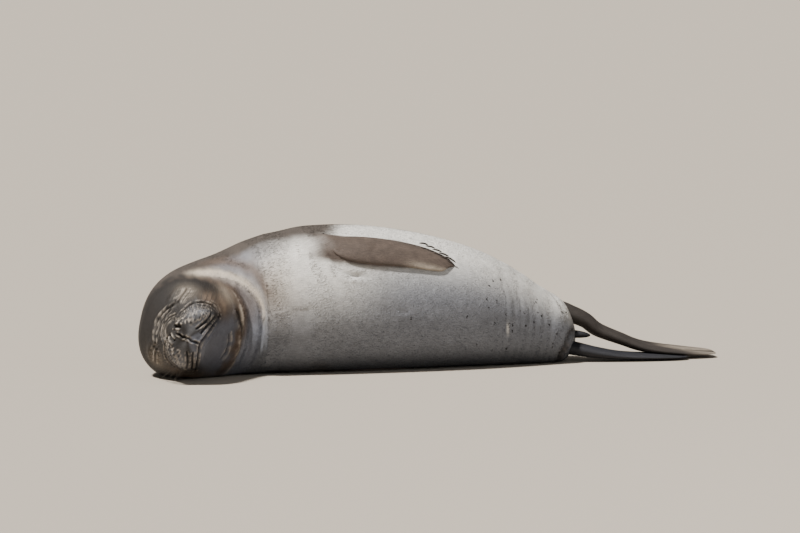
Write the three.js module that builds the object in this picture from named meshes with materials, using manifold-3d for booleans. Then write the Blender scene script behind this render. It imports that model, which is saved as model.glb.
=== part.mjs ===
// Southern elephant seal pup, newly weaned, asleep on its right side.
// Millimetres, +Z up, floor at z = 0, trunk along X with the head at -X, belly towards -Y.
import * as THREE from 'three';
import { mergeVertices } from 'three/addons/utils/BufferGeometryUtils.js';
import Module from 'manifold-3d';

const wasm = await Module();
wasm.setup();

// Driving dimensions
const GAP = 0.3;
const BEND_RADIUS = 220;
const BEND_ANGLE = 71.5 * Math.PI / 180;
const HEAD_RUN = 210;
const SHOULDER_X = -294;
const TRUNK_RUN = 992;
const LENGTH = HEAD_RUN + BEND_RADIUS * BEND_ANGLE + TRUNK_RUN;
const NOSE_CAP = 58;
const RUMP_CAP = 70;
const RUMP_CURL = 45;
const FLOOR_BLEND = 14;
const UPPER_POWER = 2.15;
const LOWER_POWER = 2.5;
const AROUND = 40;

// Sections of the body: distance from the nose, height of the middle, then the reach to the
// back, to the left side (up), to the belly and to the right side (down), and the roll in degrees
const SECTIONS = [
  [0, 134, 50, 62, 56, 62, 24],
  [30, 134, 54, 68, 60, 68, 24],
  [60, 133, 60, 77, 66, 76, 24],
  [95, 132, 74, 93, 75, 90, 24],
  [135, 132, 98, 114, 88, 110, 24],
  [185, 134, 128, 136, 110, 138, 22],
  [240, 138, 154, 152, 138, 162, 16],
  [310, 146, 180, 166, 162, 170, 8],
  [390, 160, 198, 173, 184, 184, 2],
  [490, 180, 208, 196, 202, 204, 0],
  [620, 196, 214, 213, 218, 220, 0],
  [760, 202, 216, 214, 226, 226, 0],
  [900, 198, 214, 206, 226, 222, 0],
  [1040, 184, 200, 193, 216, 208, 0],
  [1180, 160, 178, 173, 192, 184, 0],
  [1290, 132, 148, 145, 158, 156, 0],
  [1380, 104, 114, 112, 124, 124, 0],
  [1455, 88, 86, 82, 94, 94, 0],
  [LENGTH, 72, 68, 60, 72, 64, 0],
];

const slopes = [1, 2, 3, 4, 5, 6].map((column) => SECTIONS.map((row, i) => {
  const before = SECTIONS[Math.max(i - 1, 0)];
  const after = SECTIONS[Math.min(i + 1, SECTIONS.length - 1)];
  return (after[column] - before[column]) / (after[0] - before[0]);
}));

// One column of the sections, smoothed between its rows
function section(column, s) {
  const last = SECTIONS.length - 1;
  const at = Math.min(Math.max(s, 0), LENGTH);
  let i = 0;
  while (i < last - 1 && at >= SECTIONS[i + 1][0]) i += 1;
  const step = SECTIONS[i + 1][0] - SECTIONS[i][0];
  const q = (at - SECTIONS[i][0]) / step;
  const m = slopes[column - 1];
  return (2 * q ** 3 - 3 * q ** 2 + 1) * SECTIONS[i][column]
    + (q ** 3 - 2 * q ** 2 + q) * step * m[i]
    + (3 * q ** 2 - 2 * q ** 3) * SECTIONS[i + 1][column]
    + (q ** 3 - q ** 2) * step * m[i + 1];
}

// The middle line in plan: the head runs to the nose, the neck bends, the trunk lies along X
function middle(s) {
  const arc = BEND_RADIUS * BEND_ANGLE;
  const angle = BEND_ANGLE - Math.min(Math.max((s - HEAD_RUN) / BEND_RADIUS, 0), BEND_ANGLE);
  const before = Math.min(s - HEAD_RUN, 0);
  const after = Math.max(s - HEAD_RUN - arc, 0);
  const curl = Math.max((after - 600) / 400, 0);
  return [
    SHOULDER_X - BEND_RADIUS * Math.sin(angle) + before * Math.cos(BEND_ANGLE) + after,
    BEND_RADIUS * (Math.cos(angle) - 1) + before * Math.sin(BEND_ANGLE) - RUMP_CURL * curl ** 2,
  ];
}

// Lets a height sink on to the floor with a soft shoulder
function settle(z) {
  if (z <= -FLOOR_BLEND) return 0;
  if (z >= FLOOR_BLEND) return z;
  return (z + FLOOR_BLEND) ** 2 / (4 * FLOOR_BLEND);
}

function rounding(s) {
  const nose = Math.min(Math.max(1 - s / NOSE_CAP, 0), 1);
  const rump = Math.min(Math.max(1 - (LENGTH - s) / RUMP_CAP, 0), 1);
  return (1 - nose ** 2.5) ** (1 / 2.5) * (1 - rump ** 2.2) ** (1 / 2.2);
}

// A point of the body: s from the nose, phi round it (0 back, 90 left, 180 belly, 270 right),
// share of the way out from the middle line, and extra reach
function bodyPoint(s, phi, share = 1, extra = 0) {
  const [x, y] = middle(s);
  const a = middle(s - 0.5);
  const b = middle(s + 0.5);
  const run = Math.hypot(b[0] - a[0], b[1] - a[1]);
  const dx = -(b[1] - a[1]) / run;
  const dy = (b[0] - a[0]) / run;
  const roll = section(6, s) * Math.PI / 180;
  const c = Math.cos(phi);
  const k = Math.sin(phi);
  const wide = section(c > 0 ? 2 : 4, s);
  const high = section(k > 0 ? 3 : 5, s);
  const n = k > 0 ? UPPER_POWER : LOWER_POWER;
  const full = (Math.abs(c / wide) ** n + Math.abs(k / high) ** n) ** (-1 / n) * rounding(s);
  const reach = (full + extra) * share;
  const out = reach * (c * Math.cos(roll) - k * Math.sin(roll));
  const up = reach * (c * Math.sin(roll) + k * Math.cos(roll));
  return new THREE.Vector3(x + out * dx, y + out * dy, settle(section(1, s) + up));
}

// The direction straight out of the body at a point
function bodyNormal(s, phi) {
  const along = bodyPoint(s + 2, phi).sub(bodyPoint(s - 2, phi));
  const round = bodyPoint(s, phi + 0.02).sub(bodyPoint(s, phi - 0.02));
  return along.cross(round).negate().normalize();
}

function onBody(s, degrees, lift) {
  const phi = degrees * Math.PI / 180;
  return bodyPoint(s, phi).addScaledVector(bodyNormal(s, phi), lift);
}

// Solid helpers
function toSolid(geometry) {
  geometry.deleteAttribute('normal');
  geometry.deleteAttribute('uv');
  const merged = mergeVertices(geometry, 1e-4);
  const index = merged.index.array;
  const kept = [];
  for (let i = 0; i < index.length; i += 3) {
    const [a, b, c] = [index[i], index[i + 1], index[i + 2]];
    if (a !== b && b !== c && c !== a) kept.push(a, b, c);
  }
  const solid = new wasm.Manifold(new wasm.Mesh({
    numProp: 3,
    vertProperties: new Float32Array(merged.attributes.position.array),
    triVerts: new Uint32Array(kept),
  }));
  if (solid.volume() > 0) return solid;
  for (let i = 0; i < kept.length; i += 3) [kept[i], kept[i + 1]] = [kept[i + 1], kept[i]];
  return new wasm.Manifold(new wasm.Mesh({
    numProp: 3,
    vertProperties: new Float32Array(merged.attributes.position.array),
    triVerts: new Uint32Array(kept),
  }));
}

function mapped(geometry, move) {
  const position = geometry.attributes.position;
  for (let i = 0; i < position.count; i += 1) {
    const p = new THREE.Vector3().fromBufferAttribute(position, i);
    const q = move(p);
    position.setXYZ(i, q.x, q.y, q.z);
  }
  return toSolid(geometry);
}

function largest(solid) {
  return solid.decompose().reduce((best, one) => (one.volume() > best.volume() ? one : best));
}

// Cuts one solid clear of another by the gap
function clear(solid, other) {
  const steps = [[0, 0, 0], [0, 0, GAP], [0, 0, -GAP], [0, GAP, 0], [0, -GAP, 0], [GAP, 0, 0], [-GAP, 0, 0]];
  return steps.reduce((left, step) => left.subtract(other.translate(step)), solid);
}

// One length of the body between two distances from the nose
function bodyLength(from, to, rows, extra = 0) {
  const easeIn = (q) => 1 - Math.cos(q * Math.PI / 2);
  const easeOut = (q) => Math.sin(q * Math.PI / 2);
  const round = new THREE.CylinderGeometry(1, 1, 1, AROUND, rows, false);
  return mapped(round, (p) => {
    const q = Math.min(Math.max(p.y + 0.5, 0), 1);
    const share = Math.min(Math.hypot(p.x, p.z), 1);
    const phi = Math.atan2(p.z, p.x);
    const even = from <= 0 ? easeIn(q) : q;
    const s = from + (to - from) * (to >= LENGTH ? easeOut(q) : even);
    const grow = s < 1 || s > LENGTH - 1 ? 0 : extra;
    return bodyPoint(s, phi, share > 0.5 ? 1 : 0, grow);
  });
}

// A rounded cord along a curve, full in the middle and drawn out to its ends
function spindle(points, radius, rows, sides) {
  const curve = new THREE.CatmullRomCurve3(points, false, 'centripetal');
  const ball = new THREE.SphereGeometry(1, sides, rows);
  return mapped(ball, (p) => {
    const t = Math.acos(Math.min(Math.max(p.y, -1), 1)) / Math.PI;
    const at = curve.getPoint(t);
    const tangent = curve.getTangent(t);
    const side = new THREE.Vector3(tangent.y, -tangent.x, 0.001).normalize();
    const up = new THREE.Vector3().crossVectors(side, tangent).normalize();
    const swell = Math.hypot(p.x, p.z) ** 0.6;
    const turn = Math.atan2(p.z, p.x);
    const r = p.y > 0.9999 || p.y < -0.9999 ? 0 : radius * swell;
    return at.addScaledVector(side, r * Math.cos(turn)).addScaledVector(up, r * Math.sin(turn));
  });
}

function surfaceLine(places, lift) {
  return places.map(([s, degrees]) => onBody(s, degrees, lift));
}

const slate = { color: 0x5b5955, roughness: 0.75 };
const silver = { color: 0x9a9b9b, roughness: 0.75 };
const dark = { color: 0x45403c, roughness: 0.7 };
const horn = { color: 0x2a2622, roughness: 0.4 };
const group = new THREE.Group();

function addNode(name, solid, look) {
  const mesh = largest(solid).getMesh();
  const geometry = new THREE.BufferGeometry();
  geometry.setAttribute('position', new THREE.BufferAttribute(new Float32Array(mesh.vertProperties), 3));
  geometry.setIndex(new THREE.BufferAttribute(new Uint32Array(mesh.triVerts), 1));
  const body = new THREE.Mesh(geometry, new THREE.MeshStandardMaterial({ ...look, metalness: 0 }));
  body.name = name;
  group.add(body);
}

// Left fore flipper, laid back along the flank on the body's upper side
const FORE_THICK = 34;
const FORE_SUNK = 7;
const foreLine = (a) => [686 + 358 * a, 134 + 16 * a - 14 * a * a + 11.5 * a ** 4];
const foreHalf = (a) => 56 - 4 * a - 10 * a * a;

function forePlan(a) {
  return (1 - Math.abs(2 * a - 1) ** 3.2) ** (1 / 3.2);
}

function forePlace(a, w, lift) {
  const [s, degrees] = foreLine(a);
  const half = foreHalf(a) * forePlan(a);
  const turn = w * half / 215 * 180 / Math.PI;
  return onBody(s - 22 * w * a, degrees + turn, lift);
}

function foreFlipperLeft() {
  const ball = new THREE.SphereGeometry(1, 20, 24);
  return mapped(ball, (p) => {
    const t = Math.acos(Math.min(Math.max(p.y, -1), 1)) / Math.PI;
    const a = 1 - t;
    const ring = Math.max(Math.hypot(p.x, p.z), 1e-6);
    const w = p.x / ring;
    const thick = FORE_THICK * (1.1 - 0.45 * a) * (0.78 + 0.22 * w);
    const lift = thick / 2 - FORE_SUNK + thick / 2 * p.z / ring * forePlan(a);
    return forePlace(a, w, lift);
  });
}

// Right fore flipper, folded back flat on the floor beneath the chest
const RIGHT_FORE = { x: -110, y: -66, long: 290, half: 52, thick: 24, turn: -0.12 };

function foreFlipperRight(grow = 0) {
  const ball = new THREE.SphereGeometry(1, 16, 16);
  return mapped(ball, (p) => {
    const t = Math.acos(Math.min(Math.max(p.y, -1), 1)) / Math.PI;
    const ring = Math.max(Math.hypot(p.x, p.z), 1e-6);
    const plan = Math.sin(Math.PI * t) ** 0.45;
    const along = (RIGHT_FORE.long + 2 * grow) * t - grow;
    const across = p.x / ring * (plan * (RIGHT_FORE.half - 14 * t) + grow);
    const high = RIGHT_FORE.thick * (1 - 0.3 * t) * Math.sin(Math.PI * t) ** 0.5;
    const z = grow > 0 ? p.z / ring * (high + 2 * grow) - grow : Math.max(p.z / ring, 0) * high;
    return new THREE.Vector3(
      RIGHT_FORE.x + along * Math.cos(RIGHT_FORE.turn) - across * Math.sin(RIGHT_FORE.turn),
      RIGHT_FORE.y + along * Math.sin(RIGHT_FORE.turn) + across * Math.cos(RIGHT_FORE.turn),
      z,
    );
  });
}

// Claws: short horn wedges at the far edge of the left flipper and the edge of the right one
function clawLeft(i, grow = 0) {
  const a = 0.74 + 0.052 * i;
  const w = -0.86 + 0.08 * i;
  const line = [
    forePlace(a - 0.03, w + 0.1, 15 - 0.8 * i),
    forePlace(a + 0.01, w - 0.02, 14 - 0.8 * i),
    forePlace(a + 0.045, w - 0.16, 8),
  ];
  return spindle(line, 3.4 + grow, 8, 6);
}

function rightTop(t, off) {
  const plan = Math.sin(Math.PI * t) ** 0.45;
  const high = RIGHT_FORE.thick * (1 - 0.3 * t) * Math.sin(Math.PI * t) ** 0.5;
  const w = Math.min(Math.abs(off) / (plan * (RIGHT_FORE.half - 14 * t)), 0.98);
  const along = RIGHT_FORE.long * t;
  return new THREE.Vector3(
    RIGHT_FORE.x + along * Math.cos(RIGHT_FORE.turn) - off * Math.sin(RIGHT_FORE.turn),
    RIGHT_FORE.y + along * Math.sin(RIGHT_FORE.turn) + off * Math.cos(RIGHT_FORE.turn),
    high * Math.sqrt(1 - w * w),
  );
}

function clawRight(i, grow = 0) {
  const t = 0.76 + 0.025 * i;
  const off = 20 - 9 * i;
  const line = [rightTop(t - 0.035, off), rightTop(t + 0.01, off), rightTop(t + 0.045, off)];
  return spindle(line, 3.2 + grow, 6, 6);
}

// Hind flippers: thick at the ankle, a fan of five toes at the end whose outer toes reach furthest
const LEFT_HIND = {
  line: [[575, -5, 136], [640, -22, 150], [689, -32, 134], [728, -38, 116], [765, -42, 88],
    [832, -48, 61], [908, -54, 35], [1031, -64, 20], [1130, -74, 14]],
  half: [34, 38, 40, 42, 46, 56, 66, 74, 74],
  thick: [60, 60, 54, 48, 44, 40, 36, 30, 16],
  tilt: 0.08,
};
const RIGHT_HIND = {
  line: [[590, -48, 52], [670, -68, 40], [740, -84, 26], [810, -96, 16], [880, -104, 12],
    [960, -108, 10], [1020, -110, 9]],
  half: [30, 38, 42, 46, 52, 56, 56],
  thick: [56, 46, 36, 28, 24, 22, 16],
  tilt: 0.03,
};

function sample(list, t) {
  const at = t * (list.length - 1);
  const i = Math.min(Math.floor(at), list.length - 2);
  return list[i] + (list[i + 1] - list[i]) * (at - i);
}

function hindFlipper(form) {
  const places = form.line.map((p) => new THREE.Vector3(...p));
  const curve = new THREE.CatmullRomCurve3(places, false, 'centripetal');
  const ball = new THREE.SphereGeometry(1, 22, 22);
  return mapped(ball, (p) => {
    const turn = Math.acos(Math.min(Math.max(p.y, -1), 1)) / Math.PI;
    const t = 1 - turn;
    const ring = Math.max(Math.hypot(p.x, p.z), 1e-6);
    const w = p.x / ring;
    const plan = (1 - Math.abs(2 * t - 1) ** 4) ** (1 / 4);
    const notch = 0.15 * (1 - w * w) * Math.max(t - 0.5, 0) * 2;
    const toes = 0.016 * Math.cos(w * 9.4) * Math.max(t - 0.7, 0) / 0.3;
    const at = Math.min(Math.max(t - notch + toes, 0), 1);
    const middlePoint = curve.getPoint(at);
    const tangent = curve.getTangent(at);
    const side = new THREE.Vector3(-tangent.y, tangent.x, form.tilt).normalize();
    const up = new THREE.Vector3().crossVectors(tangent, side).normalize();
    const webs = 1 - 0.16 * (0.5 - 0.5 * Math.cos(w * 12.5)) * Math.max(t - 0.45, 0) / 0.55;
    const half = sample(form.half, t) * plan;
    const thick = sample(form.thick, t) / 2 * plan * webs;
    const place = middlePoint.addScaledVector(side, w * half).addScaledVector(up, p.z / ring * thick);
    place.z = settle(place.z);
    return place;
  });
}

// Tail: a short flat stub between the hind flippers
function tail() {
  const ball = new THREE.SphereGeometry(1, 14, 10);
  return mapped(ball, (p) => new THREE.Vector3(
    676 + 62 * p.y,
    -52 + 30 * p.x - 8 * p.y,
    80 + 13 * p.z - 6 * p.y,
  ));
}

// Face: blunt muzzle with two swollen whisker pads over a closed mouth, folded skin round the nose
// and in front of the eyes, closed lids, and a fold where the jaw is tucked into the throat
const MOUTH = [[110, 126], [60, 133], [26, 145], [13, 165], [12, 180], [13, 195], [26, 215],
  [60, 227], [110, 234]];
const PHILTRUM = [[9, 0], [3, 0], [0.2, 4], [0.2, 176], [3, 180], [11, 180]];
const LIP = [[112, 136], [66, 145], [36, 160], [26, 180], [36, 200], [66, 215], [112, 224]];
const PAD = [[16, 52], [28, 84], [56, 102], [90, 110]];
const PAD_GROOVES = [
  [[84, 109], [40, 113], [15, 113], [6, 110]],
  [[98, 118], [50, 123], [20, 128], [9, 138]],
];
const PAD_FOLD = [[34, 18], [48, 30], [72, 54], [98, 72], [112, 88], [120, 104], [122, 118]];
const NOSTRIL = [[25, 14], [16, 25], [8, 38]];
const BRIDGE_FOLDS = [
  [[52, 34], [66, 16], [70, 0], [66, -16], [52, -34]],
  [[76, 38], [96, 20], [103, 0], [96, -20], [76, -38]],
];
const BROW_FOLD = [[140, 50], [124, 38], [130, 22], [138, 0], [130, -22], [124, -38], [140, -50]];
const JAW_FOLD = [[205, 140], [216, 155], [236, 172], [244, 189], [236, 204], [222, 214]];
const EYE = [[112, 46], [130, 53], [148, 60], [168, 64]];

function face(head) {
  let solid = head;
  const turned = (line, side) => line.map(([s, d]) => [s, side * d]);
  for (const side of [1, -1]) {
    solid = solid.add(spindle(surfaceLine(turned(PAD, side), -17), 31, 12, 14));
    const brow = turned([[150, 36], [160, 46], [176, 56]], side);
    solid = solid.add(spindle(surfaceLine(brow, -8), 14, 8, 8));
  }
  solid = solid.add(spindle(surfaceLine([[16, 0], [44, 4], [78, 0]], -17), 27, 8, 12));
  solid = solid.add(spindle(surfaceLine(LIP, -5), 10, 20, 8));
  solid = solid.add(spindle(surfaceLine(JAW_FOLD, -10), 15, 14, 8));
  for (const side of [1, -1]) {
    solid = solid.subtract(spindle(surfaceLine(turned(PAD_FOLD, side), 2.5), 5, 14, 5));
    for (const groove of PAD_GROOVES) {
      solid = solid.subtract(spindle(surfaceLine(turned(groove, side), 13), 4, 10, 5));
    }
    solid = solid.subtract(spindle(surfaceLine(turned(NOSTRIL, side), 6), 6.5, 8, 8));
  }
  solid = solid.subtract(spindle(surfaceLine(MOUTH, 3), 6.5, 28, 5));
  solid = solid.subtract(spindle(surfaceLine(PHILTRUM, 4), 5, 8, 6));
  for (const fold of BRIDGE_FOLDS) solid = solid.subtract(spindle(surfaceLine(fold, 1), 3.5, 12, 5));
  solid = solid.subtract(spindle(surfaceLine(BROW_FOLD, 1.5), 5.5, 18, 5));
  return solid;
}

function lid(side, upper, grow = 0) {
  const step = upper ? 1 : -1;
  const line = EYE.map(([s, d], i) => {
    const bow = i === 0 || i === 3 ? 0.35 : 1;
    return [s + 3.9 * step * bow, side * (d - 3.4 * step * bow)];
  });
  return spindle(surfaceLine(line, -1.5), 6.2 + grow, 8, 6);
}

// Whiskers: slender spines rooted in the pads and lying back over the cheek
function whiskers(head) {
  let solid = head;
  for (const side of [1, -1]) {
    for (let i = 0; i < 8; i += 1) {
      const s = 50 + 12 * (i % 4);
      const d = 90 + 12 * Math.floor(i / 4) + 2.5 * (i % 4);
      const run = 74 + 6 * (i % 3);
      const line = [[s, d, 2], [s + 16, d - 2, 20], [s + run * 0.55, d - 4 - i, 24],
        [s + run, d - 8 - i, 20]].map(([a, b, lift]) => onBody(a, side * b, lift));
      const curve = new THREE.CatmullRomCurve3(line);
      const hair = new THREE.CylinderGeometry(1, 1, 1, 3, 2, false);
      solid = solid.add(mapped(hair, (p) => {
        const t = p.y + 0.5;
        const ring = Math.hypot(p.x, p.z);
        const r = ring > 0.5 ? 1.0 - 0.72 * t : 0;
        const turn = Math.atan2(p.z, p.x);
        const at = curve.getPoint(t);
        const tangent = curve.getTangent(t);
        const across = new THREE.Vector3(-tangent.z, 0, tangent.x).normalize();
        const up = new THREE.Vector3().crossVectors(tangent, across).normalize();
        return at.addScaledVector(across, r * Math.cos(turn)).addScaledVector(up, r * Math.sin(turn));
      }));
    }
  }
  return solid;
}

// Lengths of the body and what is cut clear of them
const CUTS = [0, 262, 440, 760, 1080, LENGTH];
const ROWS = [30, 8, 7, 6, 15];
const NAMES = ['head', 'neck', 'chest', 'belly', 'hips'];
const lengths = NAMES.map((name, i) => {
  const from = i === 0 ? 0 : CUTS[i] + GAP / 2;
  const to = i === NAMES.length - 1 ? LENGTH : CUTS[i + 1] - GAP / 2;
  return bodyLength(from, to, ROWS[i]);
});
const grownHips = bodyLength(CUTS[4], LENGTH, ROWS[4], GAP);
const grownTrunk = bodyLength(CUTS[2], CUTS[3], ROWS[2], GAP).add(bodyLength(CUTS[3], CUTS[4], ROWS[3], GAP));
const claws = [0, 1, 2, 3, 4];
const lids = [[1, true, 'eyelid_upper_left'], [1, false, 'eyelid_lower_left'],
  [-1, true, 'eyelid_upper_right'], [-1, false, 'eyelid_lower_right']];

lengths[0] = face(lengths[0]);
for (const [side, upper] of lids) lengths[0] = lengths[0].subtract(lid(side, upper, GAP));
const [neckX, neckY] = middle(CUTS[1] - GAP / 2);
const [aheadX, aheadY] = middle(CUTS[1] - GAP / 2 - 0.5);
const [behindX, behindY] = middle(CUTS[1] - GAP / 2 + 0.5);
const facing = new THREE.Vector3(aheadX - behindX, aheadY - behindY, 0).normalize();
lengths[0] = whiskers(lengths[0].trimByPlane([facing.x, facing.y, 0], facing.x * neckX + facing.y * neckY))
  .trimByPlane([0, 0, 1], 0);
const rightClearance = claws.reduce((all, i) => all.add(clawRight(i, GAP)), foreFlipperRight(5 * GAP));
lengths[2] = lengths[2].subtract(rightClearance);
lengths[3] = lengths[3].subtract(rightClearance);

NAMES.forEach((name, i) => addNode(name, lengths[i], i === 0 ? dark : i === 1 ? slate : silver));
for (const [side, upper, name] of lids) {
  const other = lid(side, !upper, GAP);
  addNode(name, upper ? lid(side, upper) : lid(side, upper).subtract(other), dark);
}

const leftTrimmed = [2, 3, 4].reduce((left, i) => clear(left, lengths[i]),
  foreFlipperLeft().subtract(grownTrunk).subtract(grownHips));
const cutLeft = claws.reduce((all, i) => all.subtract(clawLeft(i, GAP)), leftTrimmed);
addNode('fore_flipper_left', cutLeft, slate);
const rightTrimmed = [2, 3].reduce((left, i) => clear(left, lengths[i]), foreFlipperRight());
const cutRight = claws.reduce((all, i) => all.subtract(clawRight(i, GAP)), rightTrimmed);
addNode('fore_flipper_right', cutRight, slate);
claws.forEach((i) => {
  addNode(`claw_left_${i + 1}`, clawLeft(i).subtract(grownTrunk).subtract(grownHips), horn);
});
claws.forEach((i) => addNode(`claw_right_${i + 1}`, clawRight(i), horn));

const lowerHind = largest(hindFlipper(RIGHT_HIND).subtract(grownHips));
const upperHind = largest(clear(hindFlipper(LEFT_HIND).subtract(grownHips), lowerHind));
const tailClear = clear(clear(tail().subtract(grownHips), lowerHind), upperHind);
addNode('hind_flipper_left', upperHind, dark);
addNode('hind_flipper_right', lowerHind, dark);
addNode('tail', tailClear, slate);

export default group;
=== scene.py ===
import math
import bmesh
import bpy
import numpy as np
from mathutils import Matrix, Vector


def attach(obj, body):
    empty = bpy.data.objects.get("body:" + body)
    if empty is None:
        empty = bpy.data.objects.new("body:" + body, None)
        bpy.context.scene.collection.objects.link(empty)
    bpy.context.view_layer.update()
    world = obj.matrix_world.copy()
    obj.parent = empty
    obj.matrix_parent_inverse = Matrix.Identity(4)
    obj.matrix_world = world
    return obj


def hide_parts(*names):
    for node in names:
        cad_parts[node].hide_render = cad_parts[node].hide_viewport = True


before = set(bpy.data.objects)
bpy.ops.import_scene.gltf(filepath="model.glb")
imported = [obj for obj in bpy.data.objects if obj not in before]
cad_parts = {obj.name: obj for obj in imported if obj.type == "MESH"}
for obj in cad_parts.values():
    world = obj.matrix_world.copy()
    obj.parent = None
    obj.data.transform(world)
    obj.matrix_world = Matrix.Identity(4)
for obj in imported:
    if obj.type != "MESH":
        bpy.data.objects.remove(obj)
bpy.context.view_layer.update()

# Camera: low over the floor, on the belly side and a little towards the head, with a long lens far off.
# Its turn, height and distance give the photo's viewing angle and framing.
AZIMUTH = math.radians(-18)
ELEVATION = math.radians(5)
DISTANCE = 12.9
AIM_RIGHT = 0.1596
AIM_UP = 0.2903

back = Vector((math.sin(AZIMUTH) * math.cos(ELEVATION),
               -math.cos(AZIMUTH) * math.cos(ELEVATION),
               math.sin(ELEVATION)))
right = Vector((math.cos(AZIMUTH), math.sin(AZIMUTH), 0))
up = back.cross(right)
camera = bpy.data.objects.new("camera", bpy.data.cameras.new("camera"))
camera.data.lens = 200
camera.data.sensor_width = 36
camera.data.clip_end = 300
camera.location = right * AIM_RIGHT + up * AIM_UP + back * DISTANCE
camera.rotation_euler = (-back).to_track_quat("-Z", "Y").to_euler()
bpy.context.scene.collection.objects.link(camera)
bpy.context.scene.camera = camera


# Body: the sleeping pup from nose to rump, lying on its right side with the head bent to the belly.
# It is one round form of flesh under a thick layer of fat, which its own weight flattens on the floor.
BEND_RADIUS = 220.0
BEND = math.radians(71.5)
HEAD_RUN = 210.0
SHOULDER_X = -294.0
LENGTH = HEAD_RUN + BEND_RADIUS * BEND + 992.0
NOSE_CAP = 58.0
NOSE_BLUNT = 2.5
RUMP_CAP = 70.0
RUMP_BLUNT = 2.2
CURL_START = 600.0
CURL_RUN = 400.0
RUMP_CURL = 45.0
UPPER_FULL = 2.15
LOWER_FULL = 2.5
FLOOR_BLEND = 14.0

# Places on the body are (s, degrees): millimetres from the nose, and the turn from the back (0) over the
# left side (90, up) to the belly (180) and the right side (-90, down). Each row of SECTIONS holds s, the
# height of the middle, the reach to the back, up, to the belly and down, and the roll.
SECTIONS = np.array([
    [0, 134, 50, 62, 56, 62, 24],
    [30, 134, 54, 68, 60, 68, 24],
    [60, 133, 60, 77, 66, 76, 24],
    [95, 132, 74, 93, 75, 90, 24],
    [135, 132, 98, 114, 88, 110, 24],
    [185, 134, 128, 136, 110, 138, 22],
    [240, 138, 154, 152, 138, 162, 16],
    [310, 146, 180, 166, 162, 170, 8],
    [390, 160, 198, 173, 184, 184, 2],
    [490, 180, 208, 196, 202, 204, 0],
    [620, 196, 214, 213, 218, 220, 0],
    [760, 202, 216, 214, 226, 226, 0],
    [900, 198, 214, 206, 226, 222, 0],
    [1040, 184, 200, 193, 216, 208, 0],
    [1180, 160, 178, 173, 192, 184, 0],
    [1290, 132, 148, 145, 158, 156, 0],
    [1380, 104, 114, 112, 124, 124, 0],
    [1455, 88, 86, 82, 94, 94, 0],
    [LENGTH, 72, 68, 60, 72, 64, 0],
])
MIDDLE, TO_BACK, UPWARD, TO_BELLY, DOWNWARD, ROLL = range(1, 7)


def section(column, s):
    """One column of SECTIONS at s, on a smooth line through the rows."""
    xs, ys = SECTIONS[:, 0], SECTIONS[:, column]
    rows = np.arange(len(xs))
    before, after = np.maximum(rows - 1, 0), np.minimum(rows + 1, len(xs) - 1)
    slope = (ys[after] - ys[before]) / (xs[after] - xs[before])
    s = np.clip(s, 0, LENGTH)
    i = np.clip(np.searchsorted(xs, s, side="right") - 1, 0, len(xs) - 2)
    step = xs[i + 1] - xs[i]
    q = (s - xs[i]) / step
    return ((2 * q**3 - 3 * q**2 + 1) * ys[i] + (q**3 - 2 * q**2 + q) * step * slope[i]
            + (3 * q**2 - 2 * q**3) * ys[i + 1] + (q**3 - q**2) * step * slope[i + 1])


def middle(s):
    """Where the body's middle line runs over the floor, with the neck's bend and the rump's curl."""
    angle = BEND - np.clip((s - HEAD_RUN) / BEND_RADIUS, 0, BEND)
    before = np.minimum(s - HEAD_RUN, 0)
    after = np.maximum(s - HEAD_RUN - BEND_RADIUS * BEND, 0)
    curl = np.maximum((after - CURL_START) / CURL_RUN, 0)
    return (SHOULDER_X - BEND_RADIUS * np.sin(angle) + before * math.cos(BEND) + after,
            BEND_RADIUS * (np.cos(angle) - 1) + before * math.sin(BEND) - RUMP_CURL * curl**2)


def settle(z):
    """Heights with those near and below the floor pressed flat on it, in a soft curve."""
    near_floor = (z + FLOOR_BLEND) ** 2 / (4 * FLOOR_BLEND)
    return np.where(z <= -FLOOR_BLEND, 0, np.where(z >= FLOOR_BLEND, z, near_floor))


def body_point(s, phi):
    s, phi = np.broadcast_arrays(np.asarray(s, float), np.asarray(phi, float))
    x, y = middle(s)
    xa, ya = middle(s - 0.5)
    xb, yb = middle(s + 0.5)
    run = np.hypot(xb - xa, yb - ya)
    dx, dy = -(yb - ya) / run, (xb - xa) / run
    roll = np.radians(section(ROLL, s))
    c, k = np.cos(phi), np.sin(phi)
    wide = np.where(c > 0, section(TO_BACK, s), section(TO_BELLY, s))
    high = np.where(k > 0, section(UPWARD, s), section(DOWNWARD, s))
    full = np.where(k > 0, UPPER_FULL, LOWER_FULL)
    nose = np.clip(1 - s / NOSE_CAP, 0, 1)
    rump = np.clip(1 - (LENGTH - s) / RUMP_CAP, 0, 1)
    cap = (1 - nose**NOSE_BLUNT) ** (1 / NOSE_BLUNT) * (1 - rump**RUMP_BLUNT) ** (1 / RUMP_BLUNT)
    reach = (np.abs(c / wide) ** full + np.abs(k / high) ** full) ** (-1 / full) * cap
    out = reach * (c * np.cos(roll) - k * np.sin(roll))
    rise = reach * (c * np.sin(roll) + k * np.cos(roll))
    return np.stack([x + out * dx, y + out * dy, settle(section(MIDDLE, s) + rise)], -1)


def unit(vectors):
    return vectors / np.maximum(np.linalg.norm(vectors, axis=-1, keepdims=True), 1e-9)


def body_normal(s, phi):
    along = body_point(s + 2, phi) - body_point(s - 2, phi)
    around = body_point(s, phi + 0.02) - body_point(s, phi - 0.02)
    return unit(-np.cross(along, around))


def curve_at(points, t):
    """A smooth line through points, at the shares t from 0 to 1 along it."""
    p = np.array(points, float)
    x = t * (len(p) - 1)
    i = np.clip(x.astype(int), 0, len(p) - 2)
    q = (x - i)[:, None]
    a, b, c, d = p[np.maximum(i - 1, 0)], p[i], p[i + 1], p[np.minimum(i + 2, len(p) - 1)]
    return b + 0.5 * q * (c - a + q * (2 * a - 5 * b + 4 * c - d + q * (3 * (b - c) + d - a)))


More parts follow.
